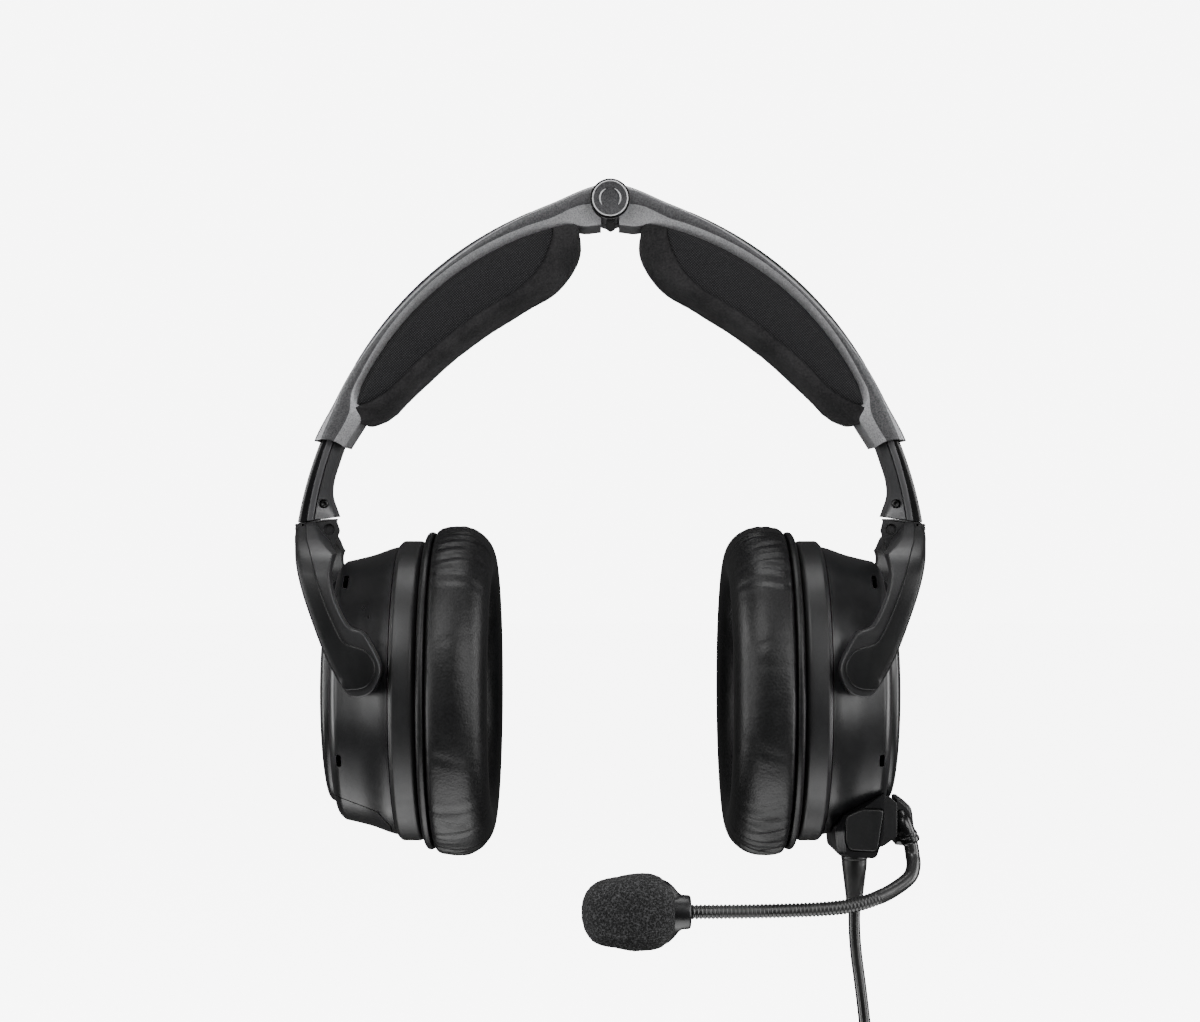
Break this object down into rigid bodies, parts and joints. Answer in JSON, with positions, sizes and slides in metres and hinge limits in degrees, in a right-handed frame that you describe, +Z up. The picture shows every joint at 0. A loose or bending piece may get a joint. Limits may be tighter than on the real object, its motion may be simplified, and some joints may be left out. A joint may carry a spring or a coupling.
{
  "type": "aviation headset",
  "caption": "Over-ear pilot headset: two hinged headband halves, sliding arms, forked yokes, oval ear cups, gooseneck boom microphone and coiled lead.",
  "frame": {"origin": "midway between the ear cushions, on the line from ear to ear", "axes": "+X to the wearer's left side of the head (the cup with the boom), +Y to the back of the head, +Z up to the headband hinge"},
  "size_m": [0.2016, 0.0933, 0.3842],
  "materials": {
    "cast_grey": "fine-grained dark grey powder coat",
    "black_plastic": "satin moulded black",
    "satin_grey": "satin dark grey",
    "steel": "brushed",
    "leather": "soft black protein leather, lightly creased",
    "fabric": "charcoal knit with a brushed lower panel",
    "foam": "open-cell black foam",
    "rubber": "smooth black",
    "board": "solder mask"
  },
  "bodies": {
    "hinge_core": {"hinge_pin": "steel", "hinge_cap_front": "cast_grey", "hinge_cap_rear": "cast_grey", "hinge_spring": "steel"},
    "band_left": {"headband_left": "cast_grey", "headband_trim_left": "black_plastic", "pad_plate_left": "black_plastic", "head_pad_left": "fabric"},
    "arm_left": {"arm_outer_left": "black_plastic", "arm_inner_left": "satin_grey", "slider_strip_left": "steel"},
    "yoke_left": {"yoke_left": "black_plastic", "yoke_cap_left": "satin_grey", "swivel_pin_left": "steel", "pivot_pin_front_left": "steel", "pivot_pin_rear_left": "steel"},
    "cup_left": {"cup_shell_left": "black_plastic", "cup_bezel_left": "black_plastic", "cup_cover_left": "black_plastic", "baffle_left": "black_plastic", "driver_left": "steel", "circuit_board_left": "board", "scrim_left": "fabric", "cushion_plate_left": "black_plastic", "ear_cushion_left": "leather", "service_cover": "black_plastic"},
    "band_right": {"headband_right": "cast_grey", "headband_trim_right": "black_plastic", "pad_plate_right": "black_plastic", "head_pad_right": "fabric"},
    "arm_right": {"arm_outer_right": "black_plastic", "arm_inner_right": "satin_grey", "slider_strip_right": "steel"},
    "yoke_right": {"yoke_right": "black_plastic", "yoke_cap_right": "satin_grey", "swivel_pin_right": "steel", "pivot_pin_front_right": "steel", "pivot_pin_rear_right": "steel"},
    "cup_right": {"cup_shell_right": "black_plastic", "cup_bezel_right": "black_plastic", "cup_cover_right": "black_plastic", "baffle_right": "black_plastic", "driver_right": "steel", "circuit_board_right": "board", "scrim_right": "fabric", "cushion_plate_right": "black_plastic", "ear_cushion_right": "leather", "connector_block": "black_plastic", "strain_relief": "rubber", "lead_run": "rubber", "lead_coil": "rubber", "coil_tie": "fabric", "plug_body": "rubber", "plug_pin": "steel"},
    "boom": {"boom_base": "black_plastic", "boom_collar": "rubber", "boom_gooseneck": "rubber", "microphone_housing": "black_plastic", "microphone_windscreen": "foam"}
  },
  "joints": [
    {"name": "left_band_fold", "type": "hinge", "parent": "hinge_core", "child": "band_left", "pos_m": [0, 0, 0.1578], "axis": [0, 1, 0], "range_deg": [-4, 20], "stiffness_Nm_per_rad": 2.5, "springref_deg": 2.86},
    {"name": "left_slider", "type": "hinge", "parent": "band_left", "child": "arm_left", "pos_m": [0.0262, 0, 0.0378], "axis": [0, -1, 0], "range_deg": [-0.9, 8]},
    {"name": "left_swivel", "type": "hinge", "parent": "arm_left", "child": "yoke_left", "pos_m": [-0.0968, 0, 0.0544], "axis": [-0.1289, 0, 0.9917], "range_deg": [-10, 10]},
    {"name": "left_tilt", "type": "hinge", "parent": "yoke_left", "child": "cup_left", "pos_m": [-0.07762, -0.00077, 0.0082], "axis": [-0.0401, -0.9992, 0], "range_deg": [-12, 12]},
    {"name": "right_band_fold", "type": "hinge", "parent": "hinge_core", "child": "band_right", "pos_m": [0, 0, 0.1578], "axis": [0, -1, 0], "range_deg": [-4, 20], "stiffness_Nm_per_rad": 2.5, "springref_deg": 2.86},
    {"name": "right_slider", "type": "hinge", "parent": "band_right", "child": "arm_right", "pos_m": [-0.0262, 0, 0.0378], "axis": [0, 1, 0], "range_deg": [-0.9, 8]},
    {"name": "right_swivel", "type": "hinge", "parent": "arm_right", "child": "yoke_right", "pos_m": [0.0968, 0, 0.0544], "axis": [0.1289, 0, 0.9917], "range_deg": [-10, 10]},
    {"name": "right_tilt", "type": "hinge", "parent": "yoke_right", "child": "cup_right", "pos_m": [0.07762, -0.00077, 0.0082], "axis": [-0.0401, 0.9992, 0], "range_deg": [-12, 12]},
    {"name": "boom_turn", "type": "hinge", "parent": "cup_right", "child": "boom", "pos_m": [0.0918, 0, -0.0423], "axis": [-1, 0, 0], "range_deg": [-10, 45]}
  ],
  "couplings": [
    {"joint": "right_band_fold", "follows": "left_band_fold", "ratio": 1}
  ]
}
